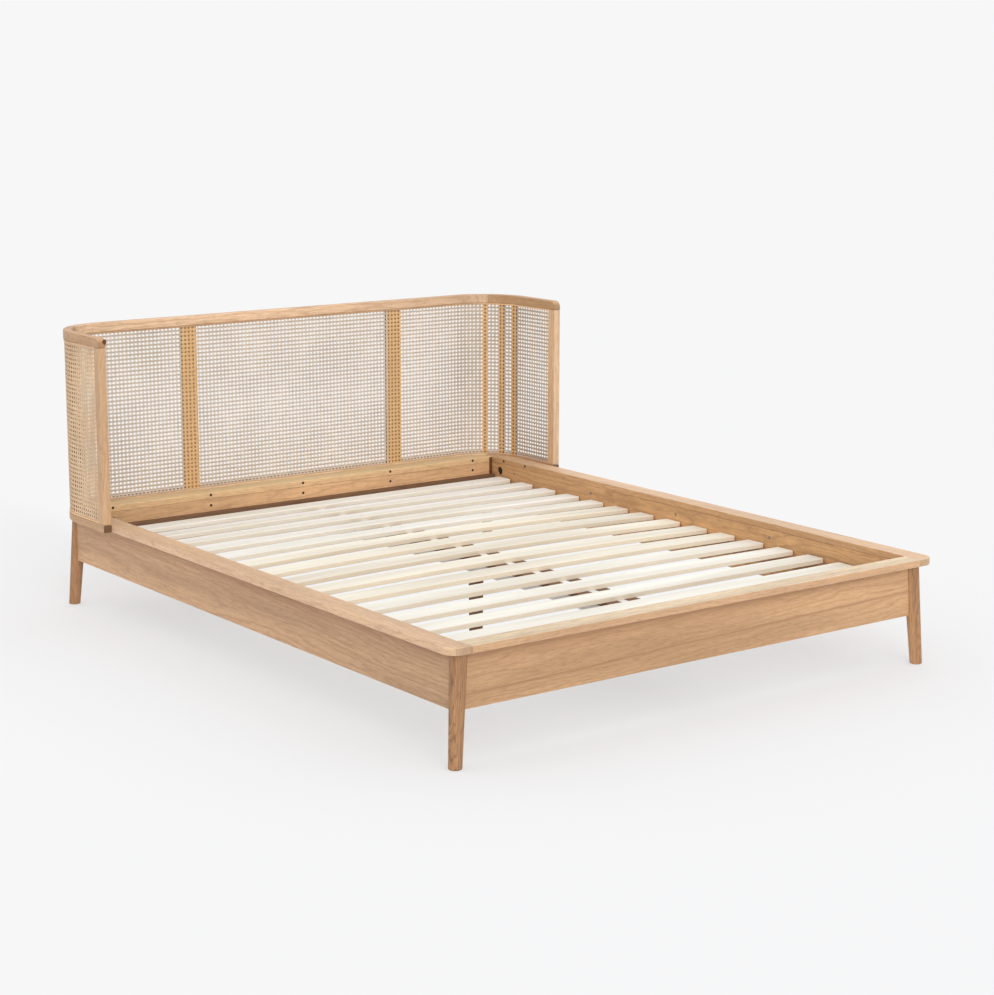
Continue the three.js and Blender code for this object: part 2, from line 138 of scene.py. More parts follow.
# Kinds of setting, each with its name, description and default
def length_setting(name, description, default, **limits):
    return bpy.props.FloatProperty(name=name, description=description, default=default, unit="LENGTH",
                                   precision=5, **limits)


def shift_setting(name, description, default):
    return bpy.props.FloatVectorProperty(name=name, description=description, default=default, size=2,
                                         unit="LENGTH", precision=5)


def colour_setting(name, description, default):
    return bpy.props.FloatVectorProperty(name=name, description=description, default=default, size=3,
                                         min=0.0, max=1.0, subtype="COLOR")


def share_setting(name, description, default, most=1.0):
    return bpy.props.FloatProperty(name=name, description=description, default=default, min=0.0, max=most,
                                   subtype="FACTOR", precision=4)


# Sizes and colours that a user may change
class CaneSettings(bpy.types.PropertyGroup):
    pitch_along: length_setting("Pitch along", "Distance from one hole to the next along the headboard",
                                0.01325, min=0.006)
    pitch_up: length_setting("Pitch up", "Distance from one hole to the one above it", 0.0127, min=0.006)
    stretch: share_setting("Outer stretch", "How much wider the outer skin is stretched along the headboard",
                           0.0035, 0.1)
    strand_width: length_setting("Strand width", "Width of an upright or level strand", 0.0023, min=0.0005)
    pair_gap: length_setting("Pair spacing", "Distance between the two strands of a pair", 0.0029, min=0.0005)
    slant_width: length_setting("Slant width", "Width of a slanting strand", 0.0022, min=0.0005)
    strand_thickness: length_setting("Strand thickness", "Thickness of every strand", 0.0004, min=0.0002)
    bead_width: length_setting("Bead width", "Width of the bead that holds the edge of a skin", 0.0055, min=0.001)
    shift_along: length_setting("Shift along", "How far right of the inner strands the outer ones stand", -0.0017)
    shift_up: length_setting("Shift up", "How far above the inner strands the outer ones stand", -0.0034)
    left_shift: shift_setting("Left wing shift", "Further shift of the outer strands on the left wing, along and up",
                              (0.0029, -0.0021))
    right_shift: shift_setting("Right wing shift", "Further shift of the outer strands on the right wing, along and up",
                               (-0.0096, -0.0012))
    # The inner skin's colour and shade are painted greyer than the cane's own warm colour, for the look of cane lit
    # from behind
    colour: colour_setting("Cane colour", "Main colour of the inner skin", (0.70, 0.605, 0.51))
    shade: colour_setting("Cane shade", "Darker colour of the inner skin", (0.42, 0.34, 0.27))
    warm: colour_setting("Warm cane", "Colour of the outer skin and of the cane glued over the uprights",
                         (0.74, 0.49, 0.25))


class WoodSettings(bpy.types.PropertyGroup):
    oak: colour_setting("Oak", "Main colour of the boards and caps", (0.68, 0.43, 0.235))
    oak_grain: colour_setting("Oak grain", "Colour of the late wood in the boards and caps", (0.33, 0.17, 0.08))
    leg: colour_setting("Leg oak", "Main colour of the four corner legs", (0.47, 0.26, 0.13))
    pine: colour_setting("Pine", "Main colour of the slats", (0.97, 0.93, 0.835))
    beam: colour_setting("Beam wood", "Main colour of the battens and bearers under the slats", (0.25, 0.125, 0.06))
    edge: length_setting("Eased edge", "Width of the small flat along every sharp edge", 0.0012, min=0.0)


class FixingSettings(bpy.types.PropertyGroup):
    screw_width: length_setting("Screw head", "Width of a screw head", 0.0085, min=0.001)
    hole_width: length_setting("Screw hole", "Width of a hole in which a screw is sunk", 0.009, min=0.001)
    bolt_width: length_setting("Bolt head", "Width of the bolt head in each side pocket", 0.008, min=0.001)
    pocket_width: length_setting("Pocket filling", "Width of the dark filling of each side pocket", 0.0276, min=0.001)
    metal: colour_setting("Metal", "Colour of screws and bolts", (0.30, 0.29, 0.28))


class StageSettings(bpy.types.PropertyGroup):
    backdrop: share_setting("Backdrop", "Brightness of the floor and background as the camera sees them", 0.931)
    floor_shadow: share_setting("Floor shadow", "Share of the floor that shows light and shadow", 0.54)
    floor_tone: share_setting("Floor tone", "Reflectance of the floor where light and shadow show", 0.834)
    sky: bpy.props.FloatProperty(
        name="Sky light", description="Strength of the even light from all round", default=1.0, min=0.0)
    key: bpy.props.FloatProperty(
        name="Key light", description="Strength of the broad low light from before the foot", default=1.1, min=0.0)
    key_spread: bpy.props.FloatProperty(
        name="Key spread", description="Angle over which the key light is spread",
        default=0.7, min=0.0, max=3.1, subtype="ANGLE")


# Nodes and links
def new_material(name):
    material = bpy.data.materials.new(name)
    material.use_nodes = True
    material.node_tree.nodes.clear()
    return material, material.node_tree


def add_node(tree, kind, inputs=None, **settings):
    node = tree.nodes.new(kind)
    for key, value in settings.items():
        setattr(node, key, value)
    for key, value in (inputs or {}).items():
        if isinstance(value, bpy.types.NodeSocket):
            tree.links.new(value, node.inputs[key])
        else:
            node.inputs[key].default_value = value
    return node


def add_math(tree, operation, first, second=0.0):
    return add_node(tree, "ShaderNodeMath", {0: first, 1: second}, operation=operation).outputs[0]


def add_vector_math(tree, operation, first, second):
    return add_node(tree, "ShaderNodeVectorMath", {0: first, 1: second}, operation=operation).outputs[0]


def add_turn(tree, place, turn):
    return add_node(tree, "ShaderNodeVectorRotate", {"Vector": place, "Rotation": turn},
                    rotation_type="EULER_XYZ").outputs[0]


def add_noise(tree, place, scale, detail, roughness=0.5, distortion=0.0, output="Fac"):
    """Noise at a scale, which may differ along the three axes."""
    if not isinstance(scale, float):
        place = add_node(tree, "ShaderNodeMapping", {"Vector": place, "Scale": scale}).outputs[0]
        scale = 1.0
    return add_node(tree, "ShaderNodeTexNoise", {"Vector": place, "Scale": scale, "Detail": detail,
                                                 "Roughness": roughness, "Distortion": distortion}).outputs[output]


def add_range(tree, value, source, target=(0.0, 1.0), interpolation="LINEAR"):
    """A value mapped from one range to another."""
    return add_node(tree, "ShaderNodeMapRange", {"Value": value, "From Min": source[0], "From Max": source[1],
                                                 "To Min": target[0], "To Max": target[1]},
                    interpolation_type=interpolation).outputs[0]


def split(tree, vector):
    return add_node(tree, "ShaderNodeSeparateXYZ", {0: vector}).outputs


def object_place(tree):
    return add_node(tree, "ShaderNodeTexCoord").outputs["Object"]


def tinted(colour, parts):
    """A colour with each channel scaled by its part."""
    return [channel * part for channel, part in zip(colour, parts)]


def lighter(colour, factor):
    return [min(1.0, channel * factor) for channel in colour]


def add_mix(tree, share, first, second, blend="MIX"):
    """Two colours mixed, each given as a socket or as three channels."""
    first, second = (side if isinstance(side, bpy.types.NodeSocket) else (*side, 1.0) for side in (first, second))
    return add_node(tree, "ShaderNodeMix", {0: share, 6: first, 7: second}, data_type="RGBA",
                    blend_type=blend).outputs[2]


def add_ramp(tree, factor, stops):
    node = tree.nodes.new("ShaderNodeValToRGB")
    ramp = node.color_ramp
    while len(ramp.elements) < len(stops):
        ramp.elements.new(0.5)
    for element, (place, level) in zip(ramp.elements, stops):
        element.position = place
        element.color = (level, level, level, 1.0)
    tree.links.new(factor, node.inputs[0])
    return node.outputs[0]


def add_bump(tree, height, strength, distance):
    return add_node(tree, "ShaderNodeBump", {"Strength": strength, "Distance": distance, "Height": height}).outputs[0]


def add_surface(tree, inputs):
    shader = add_node(tree, "ShaderNodeBsdfPrincipled", inputs)
    add_node(tree, "ShaderNodeOutputMaterial", {"Surface": shader.outputs["BSDF"]})


def wood_material(name, main, grain, along, seed, figure=0.5, end_shade=0.45, ring_size=0.010, roughness=0.45,
                  pores=0.5, centre=(0.0, 0.0, 0.0), lean=2.2, side_axis=None, side_tone=(1.0, 1.0, 1.0),
                  vein=None, fade=None, eave=None):
    """Sawn wood whose grain runs along one axis, with growth rings, pores and darker end grain.

    Faces that look along the side axis, if one is given, take the painted side light: painted shade where it is below
    one, a painted highlight where it is above. A vein is one dark growth line, given by its height and rise along X. A
    fade is an axis and the tones at its two ends, 0.8 m either way.
    Below an eave, given as a height, the wood is painted a little darker, shade under the eave.
    """
    material, tree = new_material(name)
    place = object_place(tree)
    turns = {"X": (0.0, 0.0, 0.0), "Y": (0.0, 0.0, -QUARTER), "Z": (0.0, QUARTER, 0.0)}
    turned = add_turn(tree, add_vector_math(tree, "SUBTRACT", place, centre), turns[along])
    shifted = add_vector_math(tree, "ADD", turned, (seed * 1.7, seed * 0.31, seed * 0.23))

    # A slow wander that bends the growth rings
    wander = add_noise(tree, shifted, (1.6, 8.0, 8.0), 4.0, 0.55, output="Color")
    bend = add_vector_math(tree, "SUBTRACT", wander, (0.5, 0.5, 0.5))
    bend = add_vector_math(tree, "MULTIPLY", bend, (0.0, 0.10, 0.10))
    leaning = add_turn(tree, turned, (0.3 * seed, math.radians(lean), math.radians(0.8)))
    rings_place = add_vector_math(tree, "ADD", leaning, bend)
    parts = split(tree, rings_place)
    across = add_math(tree, "POWER", parts[1], 2.0)
    deep = add_math(tree, "POWER", parts[2], 2.0)
    distance = add_math(tree, "SQRT", add_math(tree, "ADD", across, deep))
    ring = add_math(tree, "FRACT", add_math(tree, "DIVIDE", distance, ring_size))
    late = add_ramp(tree, ring, ((0.0, 1.0), (0.16, 0.28), (0.45, 0.0), (0.84, 0.22), (1.0, 1.0)))

    # Broad streaks, long fibres and short dark pores
    streak = add_noise(tree, rings_place, (2.2, 105.0, 105.0), 5.0, 0.62, 0.5)
    streak = add_ramp(tree, streak, ((0.36, 0.0), (0.64, 1.0)))
    fibre = add_noise(tree, shifted, (7.0, 210.0, 210.0), 4.0, 0.65)
    pore = add_noise(tree, shifted, (34.0, 700.0, 700.0), 2.0, 0.6)
    pore = add_ramp(tree, pore, ((0.0, 1.0), (0.38, 1.0), (0.48, 0.0), (1.0, 0.0)))
    broad = add_noise(tree, shifted, (1.1, 12.0, 12.0), 2.0)

    # Colour from the layers
    colour = add_mix(tree, add_ramp(tree, broad, ((0.34, 0.0), (0.66, 1.0))), lighter(main, 1.12),
                     [c * 0.82 for c in main])
    colour = add_mix(tree, add_math(tree, "MULTIPLY", late, 0.95 * figure), colour, grain)
    colour = add_mix(tree, add_math(tree, "MULTIPLY", streak, 0.55 * figure), colour, grain)
    fine = add_ramp(tree, fibre, ((0.30, 0.0), (0.72, 1.0)))
    colour = add_mix(tree, add_math(tree, "MULTIPLY", fine, 0.45 * figure + 0.08), colour, grain)
    colour = add_mix(tree, add_math(tree, "MULTIPLY", pore, 0.6 * pores), colour, [c * 0.45 for c in grain])

    # Vein, fade along one axis and painted shade under an eave
    spots = split(tree, place)
    if vein:
        sway = add_math(tree, "MULTIPLY", split(tree, bend)[2], 0.30)
        line = add_math(tree, "MULTIPLY_ADD", spots[0], vein[1])
        line.node.inputs[2].default_value = vein[0]
        off = add_math(tree, "ABSOLUTE", add_math(tree, "SUBTRACT", add_math(tree, "ADD", spots[2], sway), line))
        colour = add_mix(tree, add_ramp(tree, off, ((0.0, 0.85), (0.0010, 0.70), (0.0030, 0.0))), colour, grain)
    if fade:
        tone = add_range(tree, spots["XYZ".index(fade[0])], (-0.8, 0.8), fade[1:])
        grey = add_node(tree, "ShaderNodeCombineColor", {0: tone, 1: tone, 2: tone}).outputs[0]
        colour = add_mix(tree, 1.0, colour, grey, "MULTIPLY")
    if eave:
        gap = add_math(tree, "SUBTRACT", eave, spots[2])
        shaded = add_ramp(tree, gap, ((0.0, 0.75), (0.008, 0.62), (0.022, 0.34), (0.055, 0.0)))
        colour = add_mix(tree, shaded, colour, grain)

    # Faces cut across the fibres are darker
    facing = split(tree, add_node(tree, "ShaderNodeNewGeometry").outputs["Normal"])
    cut = add_ramp(tree, add_math(tree, "ABSOLUTE", facing["XYZ".index(along)]), ((0.72, 0.0), (0.92, 1.0)))
    # Painted shade and highlight on the faces that look along the side axis
    if side_axis:
        side = add_ramp(tree, add_math(tree, "ABSOLUTE", facing["XYZ".index(side_axis)]), ((0.6, 0.0), (0.8, 1.0)))
        colour = add_mix(tree, side, colour, add_mix(tree, 1.0, colour, side_tone, "MULTIPLY"))
    colour = add_mix(tree, add_math(tree, "MULTIPLY", cut, end_shade), colour, [c * 0.42 for c in grain])

    # Gloss and relief
    gloss = add_range(tree, fibre, (0.0, 1.0), (roughness - 0.08, roughness + 0.12))
    height = add_math(tree, "SUBTRACT", add_math(tree, "MULTIPLY", fibre, 0.35),
                      add_math(tree, "MULTIPLY", pore, 0.6 * pores))
    height = add_math(tree, "SUBTRACT", height, add_math(tree, "MULTIPLY", late, 0.25))
    add_surface(tree, {"Base Color": colour, "Roughness": gloss, "IOR": 1.45, "Specular IOR Level": 0.5,
                       "Normal": add_bump(tree, height, 0.35, 0.0006)})
    return material


def cane_material(name, main, shade, warm=None, uprights=(), row=None):
    """Split rattan with fine fibres, which over an upright takes the warm colour in place of its main one.

    A row, given as the height of one level pair and the rise to the next, paints shade along the level pairs.
    """
    material, tree = new_material(name)
    place = object_place(tree)
    patch = add_noise(tree, place, 42.0, 3.0, 0.6)
    broad = add_noise(tree, place, 5.0, 2.0)
    fine = add_noise(tree, place, 900.0, 3.0, 0.7)
    colour = add_mix(tree, add_ramp(tree, patch, ((0.35, 0.0), (0.66, 1.0))), lighter(main, 1.18), main)
    colour = add_mix(tree, add_ramp(tree, broad, ((0.40, 0.0), (0.75, 0.45))), colour, shade)
    colour = add_mix(tree, add_ramp(tree, fine, ((0.40, 0.0), (0.80, 0.5))), colour, shade)
    # Painted shade along the level pairs
    if row:
        phase = add_math(tree, "SUBTRACT", split(tree, place)[2], row[0] - 0.5 * row[1])
        phase = add_math(tree, "FRACT", add_math(tree, "DIVIDE", phase, row[1]))
        off = add_math(tree, "ABSOLUTE", add_math(tree, "SUBTRACT", phase, 0.5))
        level = add_ramp(tree, off, ((0.0, 0.62), (0.12, 0.62), (0.20, 0.0), (1.0, 0.0)))
        colour = add_mix(tree, level, colour, [c * 0.86 for c in shade])

    # Specked gold over the uprights, the specks partly the cane's mottling and partly painted shade where strands cross
    plan = add_vector_math(tree, "MULTIPLY", place, (1.0, 1.0, 0.0))
    speck = add_ramp(tree, add_noise(tree, place, 330.0, 2.0), ((0.47, 0.0), (0.62, 0.75)))
    for x, y, reach, tone in uprights:
        away = add_node(tree, "ShaderNodeVectorMath", {0: plan, 1: (x, y, 0.0)}, operation="DISTANCE").outputs["Value"]
        glued = tinted(warm, tone)
        mottle_and_shade = add_mix(tree, speck, glued, tinted(glued, (0.62, 0.50, 0.34)))
        colour = add_mix(tree, add_math(tree, "LESS_THAN", away, reach), colour, mottle_and_shade)
    add_surface(tree, {"Base Color": colour, "Roughness": add_range(tree, fine, (0.0, 1.0), (0.42, 0.62)),
                       "Specular IOR Level": 0.4, "Normal": add_bump(tree, fine, 0.3, 0.0003)})
    return material


def metal_material(name, main, roughness=0.38):
    """Plated steel with fine wear."""
    material, tree = new_material(name)
    wear = add_noise(tree, object_place(tree), 420.0, 4.0, 0.6)
    colour = add_mix(tree, add_ramp(tree, wear, ((0.35, 0.0), (0.75, 1.0))), main, [c * 0.6 for c in main])
    gloss = add_range(tree, wear, (0.0, 1.0), (roughness - 0.1, roughness + 0.15))
    add_surface(tree, {"Base Color": colour, "Roughness": gloss, "Metallic": 0.85})
    return material


def dark_hole_material(name, low=(0.012, 0.007, 0.004), high=(0.045, 0.024, 0.012)):
    """Painted shade for the inside of a hole or gap, and the dark of a joint, in oak."""
    material, tree = new_material(name)
    colour = add_mix(tree, add_noise(tree, object_place(tree), 600.0, 2.0), low, high)
    add_surface(tree, {"Base Color": colour, "Roughness": 0.9})
    return material


# Work on meshes
def select_only(*objects):
    if bpy.context.object and bpy.context.object.mode != "OBJECT":
        bpy.ops.object.mode_set(mode="OBJECT")
    bpy.ops.object.select_all(action="DESELECT")
    for piece in objects:
        piece.select_set(True)
    bpy.context.view_layer.objects.active = objects[0]


def apply_place(piece):
    select_only(piece)
    bpy.ops.object.transform_apply(location=True, rotation=True, scale=True)


def apply_modifiers(piece):
    select_only(piece)
    for modifier in list(piece.modifiers):
        bpy.ops.object.modifier_apply(modifier=modifier.name)


def join_pieces(pieces, name):
    select_only(*pieces)
    bpy.ops.object.join()
    joined = bpy.context.object
    joined.name = name
    joined.data.name = name
    return joined


def copy_of(piece):
    """A copy with its own mesh."""
    select_only(piece)
    bpy.ops.object.duplicate()
    return bpy.context.object


def set_material(piece, material):
    piece.data.materials.clear()
    piece.data.materials.append(material)


def dress_node(node, material, edge=0.0):
    """Give a CAD node its finish and ease its sharp edges."""
    piece = NODES[node]
    set_material(piece, material)
    weld = piece.modifiers.new("Weld", "WELD")
    weld.merge_threshold = WELD_REACH
    if edge > 0.0:
        bevel = piece.modifiers.new("Eased edges", "BEVEL")
        bevel.width = edge
        bevel.segments = 2
        bevel.limit_method = "ANGLE"
        bevel.angle_limit = EASED_ABOVE
        bevel.use_clamp_overlap = True


def finish_piece(piece, material, slot, *nodes):
    """Give a new piece its material and body, and hide the CAD nodes that it replaces. Its slot is not used."""
    set_material(piece, material)
    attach(piece, "root")
    if nodes:
        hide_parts(*nodes)


def strand(width, thickness, length, lean=0.0):
    """One flat strand with rounded edges, upright or leaning by an angle, round the middle of the world."""
    bpy.ops.mesh.primitive_cylinder_add(vertices=6, radius=0.5, depth=1.0, location=(0.0, 0.0, 0.0))
    piece = bpy.context.object
    piece.scale = (width, thickness, length)
    apply_place(piece)
    piece.rotation_euler = (0.0, lean, 0.0)
    apply_place(piece)
    return piece


def repeat(piece, count, step):
    array = piece.modifiers.new("Array", "ARRAY")
    array.count = count
    array.use_relative_offset = False
    array.use_constant_offset = True
    array.constant_offset_displace = step
    apply_modifiers(piece)


def change_mesh(piece, operator, **settings):
    """Run a mesh operator on the whole of a piece."""
    select_only(piece)
    bpy.ops.object.mode_set(mode="EDIT")
    bpy.ops.mesh.select_all(action="SELECT")
    operator(**settings)
    bpy.ops.object.mode_set(mode="OBJECT")


def bisect_at(piece, place, normal, trim=False):
    """Cut a piece at a plane, and drop what lies outside it if asked."""
    change_mesh(piece, bpy.ops.mesh.bisect, plane_co=place, plane_no=normal, use_fill=trim, clear_outer=trim)


def wrap_path(name, radius):
    """The line that a skin follows in plan, from the back of the left front post to that of the right."""
    points = [(-CORNER_X - radius, POST_BACK_Y)]
    for i in range(TURN_POINTS + 1):
        angle = QUARTER * (1.0 - i / TURN_POINTS)
        points.append((-CORNER_X - radius * math.sin(angle), CORNER_Y + radius * math.cos(angle)))
    for i in range(TURN_POINTS + 1):
        angle = QUARTER * i / TURN_POINTS
        points.append((CORNER_X + radius * math.sin(angle), CORNER_Y + radius * math.cos(angle)))
    points.append((CORNER_X + radius, POST_BACK_Y))
    data = bpy.data.curves.new(name, "CURVE")
    data.dimensions = "2D"
    spline = data.splines.new("POLY")
    spline.points.add(len(points) - 1)
    for point, (x, y) in zip(spline.points, points):
        point.co = (x, y, 0.0, 1.0)
    path = bpy.data.objects.new(name, data)
    bpy.context.scene.collection.objects.link(path)
    return path


def path_length(radius):
    return 2 * (CORNER_Y - POST_BACK_Y) + 2 * radius * QUARTER + 2 * CORNER_X


def cut_turns(piece, radius):
    """Cut a flat piece where the path turns, so that it can bend there."""
    straight = CORNER_Y - POST_BACK_Y
    arc = radius * QUARTER
    for start in (straight, straight + arc + 2 * CORNER_X):
        for i in range(TURN_CUTS + 1):
            bisect_at(piece, (start + arc * i / TURN_CUTS, 0.0, 0.0), (1.0, 0.0, 0.0))


def bend_round(piece, radius):
    """Bend a flat piece round the path."""
    path = wrap_path(piece.name + "_path", radius)
    bend = piece.modifiers.new("Wrap", "CURVE")
    bend.object = path
    bend.deform_axis = "POS_X"
    apply_modifiers(piece)
    bpy.data.objects.remove(path)


def smooth(piece):
    select_only(piece)
    bpy.ops.object.shade_smooth_by_angle(angle=SMOOTH_BELOW)


# Operators
class BED_OT_oak_frame(bpy.types.Operator):
    """Give the boards, caps, rails, posts and stiles their oak"""

    bl_idname = "bed.oak_frame"
    bl_label = "Oak frame"

    def execute(self, context):
        wood = context.scene.bed_wood
        oak, grain = wood.oak, wood.oak_grain
        pale_grain = tinted(grain, (1.35, 1.5, 1.8))
        centre_z = (span("board_foot")[0].z + span("board_foot")[1].z) / 2
        eave = span("cap_foot")[0].z

        def board(name, parts, along, seed, late=grain, **look):
            return wood_material(name, tinted(oak, parts), late, along, seed, **look)

        foot = board("oak_foot_board", (0.85, 0.82, 0.78), "X", 1.0,
                     figure=0.42, centre=(0.25, -0.97, centre_z + 0.045), ring_size=0.012, lean=2.8,
                     vein=(0.195, 0.022), fade=("X", 0.93, 1.12), eave=eave)
        left = board("oak_side_left", (0.88, 0.87, 0.90), "Y", 2.0,
                     figure=0.46, centre=(-0.77, 0.1, centre_z - 0.03), ring_size=0.013, lean=1.3,
                     fade=("Y", 0.93, 1.16), eave=eave)
        right = board("oak_side_right", (1.22, 1.13, 0.95), "Y", 3.0,
                      figure=0.5, centre=(0.78, 0.4, centre_z + 0.05), ring_size=0.015)
        head = board("oak_head_rail", (1.12, 1.08, 1.03), "X", 4.0,
                     figure=0.4, fade=("X", 0.92, 1.10), centre=(-0.2, HEAD_FACE_Y + 0.02, 0.27),
                     ring_size=0.014, lean=1.2)
        # The foot cap's front face is painted shade below its pale top
        cap_foot = board("oak_cap_foot", (1.33, 1.68, 2.1), "X", 5.0, pale_grain,
                         figure=0.26, centre=(0.0, -1.01, 0.2), ring_size=0.009, fade=("X", 0.90, 1.06),
                         side_axis="Y", side_tone=(0.80, 0.63, 0.52))
        # The head cap is painted lighter against the headboard's shade, and its front face painted shade
        cap_head = board("oak_cap_head", (1.42, 1.62, 1.6), "X", 17.0, pale_grain,
                         figure=0.3, centre=(0.0, -1.01, 0.2), ring_size=0.009,
                         side_axis="Y", side_tone=(0.78, 0.67, 0.64))
        caps = {}
        # The right cap's faces along X are painted shade; the left cap's keep their colour
        for word, tone in (("left", (1.0, 1.0, 1.0)), ("right", (0.80, 0.70, 0.56))):
            caps[word] = board(f"oak_cap_{word}", (1.24, 1.33, 1.52), "Y", 6.0, pale_grain, figure=0.4,
                               centre=(0.9, 0.0, 0.24), ring_size=0.009, side_axis="X", side_tone=tone)
        straight = board("oak_top_straight", (1.20, 1.31, 1.55), "X", 7.0,
                         figure=0.42, centre=(0.0, 1.02, 0.84), ring_size=0.012, lean=1.0)
        lower = board("oak_bottom_straight", (1.42, 1.6, 1.85), "X", 16.0,
                      figure=0.35, centre=(0.0, 1.1, 0.8), ring_size=0.009)
        # The curved top rails' upper faces are painted a highlight
        curved = board("oak_top_curved", (0.77, 0.75, 0.72), "Y", 8.0,
                       figure=0.3, centre=(0.9, 0.9, 0.8), ring_size=0.009, end_shade=0.35,
                       side_axis="Z", side_tone=(1.12, 1.13, 1.16))
        # The curved bottom rails' front ends are nearly black: the dark of their end grain and painted shade at the
        # foot of the post
        foot_rail = board("oak_bottom_curved", (0.88, 0.87, 0.86), "Y", 19.0,
                          figure=0.3, centre=(0.9, 0.9, 0.8), ring_size=0.009, end_shade=0.97)
        posts = {}
        for word, level in (("left", (0.92, 0.94, 0.98)), ("right", (1.18, 1.27, 1.46))):
            posts[word] = board(f"oak_post_{word}", level, "Z", 9.0,
                                figure=0.35, centre=(0.9, 0.6, 0.5), ring_size=0.007)
        # The stiles and strips are painted a darker brown than their oak, shade behind the cane
        warm = wood_material("oak_strips", (0.40, 0.19, 0.07), (0.26, 0.12, 0.045), "Z", 10.0, figure=0.3,
                             centre=(0.7, 0.9, 0.5))
        finishes = {
            "board_foot": foot, "board_side_left": left, "board_side_right": right, "board_head": head,
            "cap_foot": cap_foot, "cap_head": cap_head, "cap_side_left": caps["left"], "cap_side_right": caps["right"],
            "headboard_top_rail_back": straight, "headboard_bottom_rail_back": lower,
        }
        for word in SIDE_NAMES:
            finishes[f"headboard_top_rail_{word}"] = curved
            finishes[f"headboard_bottom_rail_{word}"] = foot_rail
            finishes[f"headboard_post_{word}"] = posts[word]
            finishes[f"headboard_stile_{word}"] = warm
            for number in (1, 2, 3):
                finishes[f"headboard_strip_{word}_{number}"] = warm
        for node, material in finishes.items():
            eased = node.startswith(("board", "headboard_post"))
            dress_node(node, material, wood.edge if eased else 0.0)
        return {"FINISHED"}


class BED_OT_legs(bpy.types.Operator):
    """Give the corner legs and the centre leg their turned wood"""

    bl_idname = "bed.legs"
    bl_label = "Legs"

    def execute(self, context):
        wood = context.scene.bed_wood
        grain = tinted(wood.leg, (0.36, 0.30, 0.28))

        def leg(name, parts, seed, **look):
            return wood_material(name, tinted(wood.leg, parts), grain, "Z", seed, roughness=0.48, **look)

        figured = leg("leg_oak_figured", (1.30, 1.26, 1.10), 11.0, figure=0.78, ring_size=0.0042,
                      centre=(-0.76, -0.99, 0.1), lean=9.0)
        # The front right leg's faces along Y are painted shade
        turned = leg("leg_oak_turned", (1.30, 1.30, 1.26), 18.0, figure=0.42, ring_size=0.006,
                     centre=(0.80, 1.0, 0.1), lean=2.0, side_axis="Y", side_tone=(0.74, 0.70, 0.64))
        darker = leg("leg_oak_rear", (0.94, 0.88, 0.80), 23.0, figure=0.45, ring_size=0.006,
                     centre=(0.80, 1.0, 0.1), lean=3.0)
        for node, material in (("leg_front_left", figured), ("leg_front_right", turned),
                               ("leg_rear_left", darker), ("leg_rear_right", darker)):
            dress_node(node, material)
        centre = wood_material("centre_leg_wood", wood.beam, [c * 0.6 for c in wood.beam], "Z", 12.0,
                               figure=0.4, centre=(0.1, 0.1, 0.1), roughness=0.6)
        dress_node("leg_centre", centre)
        return {"FINISHED"}


class BED_OT_deck(bpy.types.Operator):
    """Give the slats, the bearers and the centre beam their wood"""

    bl_idname = "bed.deck"
    bl_label = "Slats and beam"

    def execute(self, context):
        wood = context.scene.bed_wood
        pine = wood.pine
        grain = tinted(pine, (0.80, 0.70, 0.56))
        # The three groups of five slats, from the foot, are painted lighter and darker for the light along the deck,
        # the far group lighter against the headboard's shade, and every slat's front face is painted shade
        tones = ((1.0, 1.0, 1.0), (0.95, 0.92, 0.885), (1.05, 1.08, 1.07))
        slats = []
        for number, tone in enumerate(tones):
            slats.append(wood_material(f"slat_pine_{number + 1}", tinted(pine, tone), grain, "X", 20.0 + 3 * number,
                                       figure=0.16 - 0.03 * number, pores=0.1, end_shade=0.2,
                                       centre=(0.0, 0.3 * number, 0.18), ring_size=0.011, roughness=0.6,
                                       side_axis="Y", side_tone=(0.89, 0.82, 0.74)))
        for index, node in enumerate(SLATS):
            dress_node(node, slats[min(2, index // 5)])
        upright = wood_material("centre_upright_pine", (0.98, 0.97, 0.94), grain, "Z", 31.0, figure=0.05, pores=0.05,
                                end_shade=0.1, roughness=0.6)
        dress_node("centre_upright", upright, wood.edge)

        def beam(name, main, late, along, seed, centre):
            tones = [[c * factor for c in wood.beam] for factor in (main, late)]
            return wood_material(name, *tones, along, seed, figure=0.4, centre=centre, roughness=0.62)

        brown = beam("beam_wood", 1.0, 0.6, "Y", 13.0, (0.0, 0.0, 0.2))
        bearer = beam("bearer_wood", 1.55, 1.0, "Y", 14.0, (0.7, 0.0, 0.2))
        # The head bearer is painted darker, shade in the gap under the head rail
        across = beam("bearer_head_wood", 0.85, 0.4, "X", 15.0, (0.0, 0.9, 0.2))
        for word in SIDE_NAMES:
            dress_node(f"centre_batten_{word}", brown, wood.edge)
            dress_node(f"bearer_{word}", bearer, wood.edge)
        dress_node("bearer_head", across, wood.edge)
        return {"FINISHED"}


